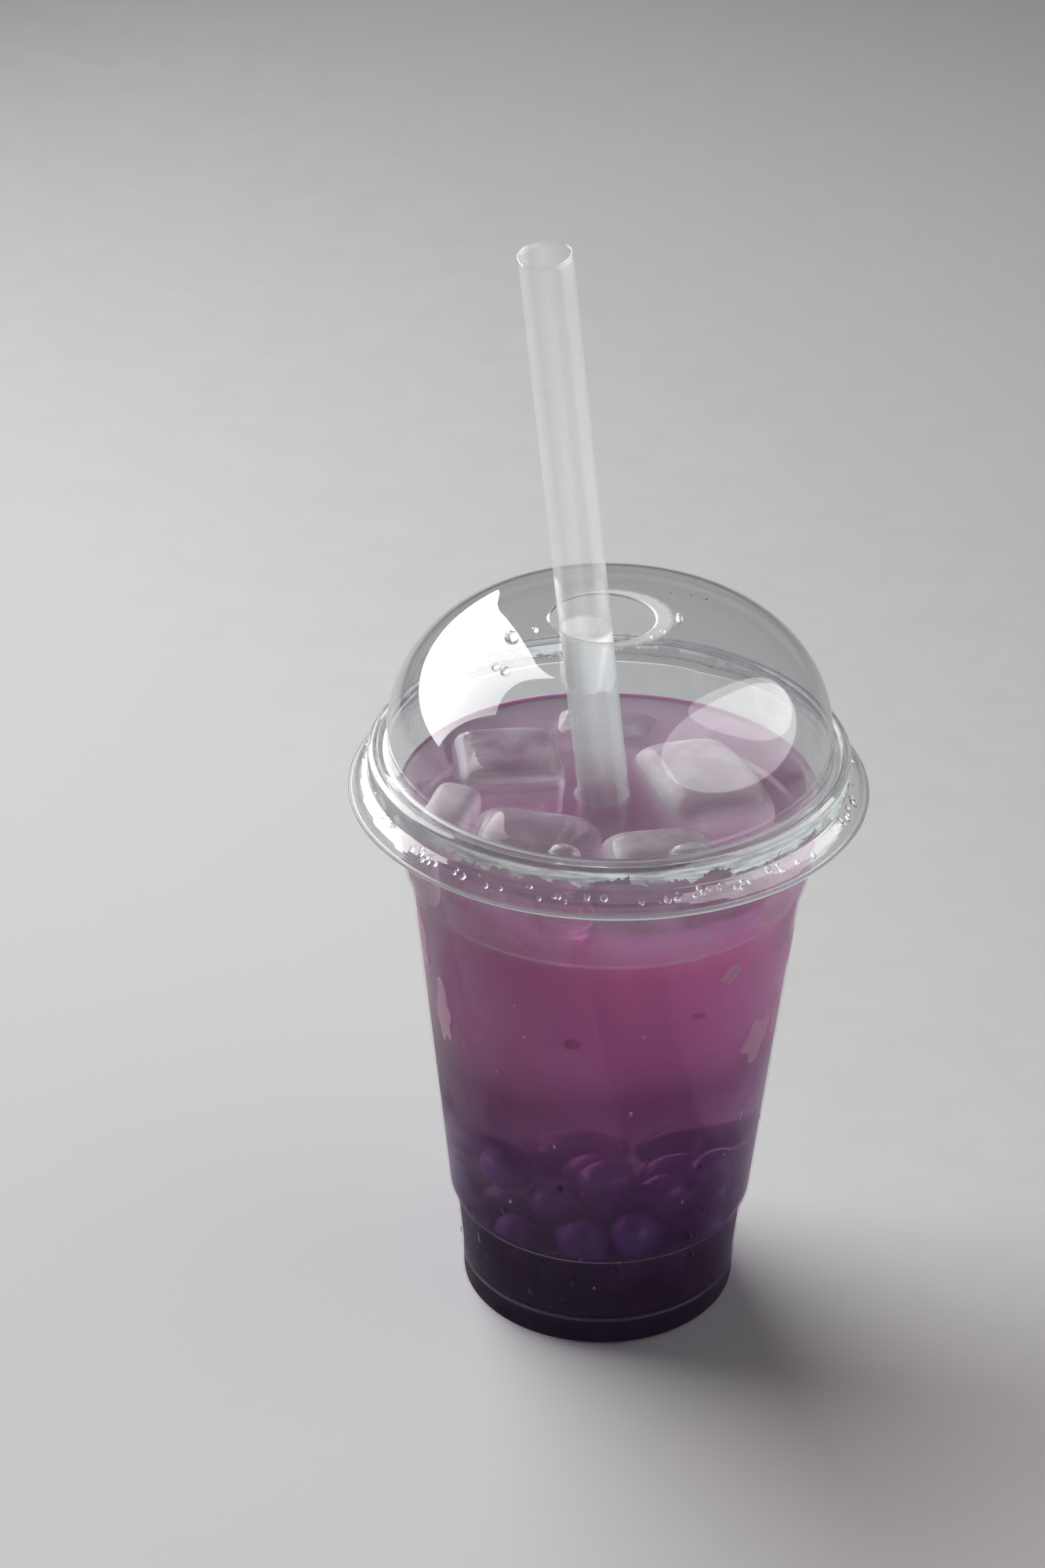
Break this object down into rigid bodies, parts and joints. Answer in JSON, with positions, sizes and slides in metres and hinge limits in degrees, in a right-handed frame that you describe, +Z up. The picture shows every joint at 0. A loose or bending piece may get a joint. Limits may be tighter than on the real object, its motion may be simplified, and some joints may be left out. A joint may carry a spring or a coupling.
{
  "type": "bubble tea",
  "caption": "Clear takeaway cup of cold purple bubble tea with a domed lid, a wide leaning straw, ice and pearls.",
  "frame": {"origin": "middle of the foot that the cup stands on", "axes": "+Z up along the cup's axis; the straw's top leans towards -X and -Y"},
  "size_m": [0.1068, 0.1068, 0.2458],
  "materials": {
    "clear_cup": "clear",
    "clear_lid": "clear",
    "frosted_straw": "frosted",
    "purple_drink": "liquid"
  },
  "bodies": {
    "root": {"cup": "clear_cup", "dome_lid": "clear_lid", "straw": "frosted_straw", "drink": "purple_drink"}
  },
  "joints": []
}
